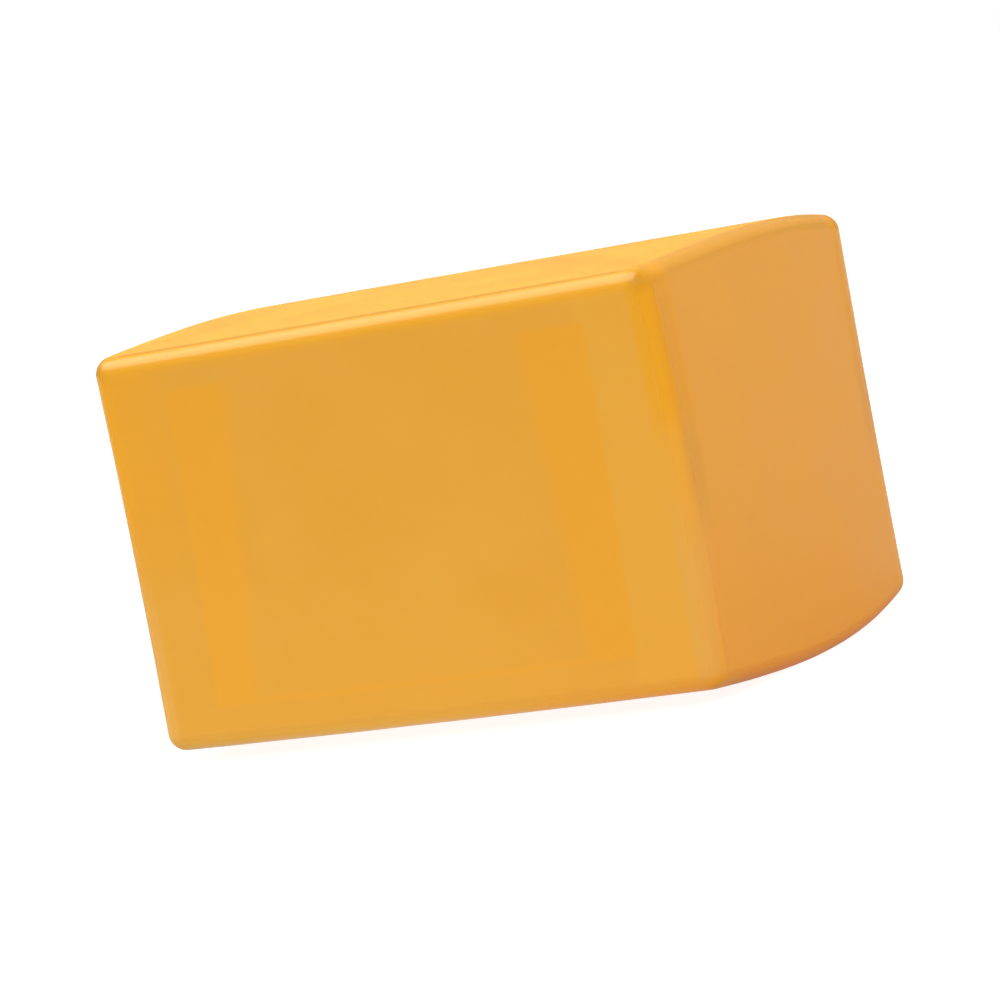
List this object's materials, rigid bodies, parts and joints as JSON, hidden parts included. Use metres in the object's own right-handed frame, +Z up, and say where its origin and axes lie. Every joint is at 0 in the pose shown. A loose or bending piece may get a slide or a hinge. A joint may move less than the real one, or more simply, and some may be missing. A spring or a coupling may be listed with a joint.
{
  "type": "cheese analogue block",
  "caption": "Solid orange block of cheese analogue with rounded edges, flat sides and a gently crowned top and underside.",
  "frame": {"origin": "in the plane of the small flat spot that the block rests on, below the middle of its box", "axes": "+Z up, +X along the block's length, -Y out of the broad front face"},
  "size_m": [0.098, 0.0784, 0.0659],
  "materials": {
    "cheese": "satin"
  },
  "bodies": {
    "root": {"cheese_block": "cheese"}
  },
  "joints": []
}
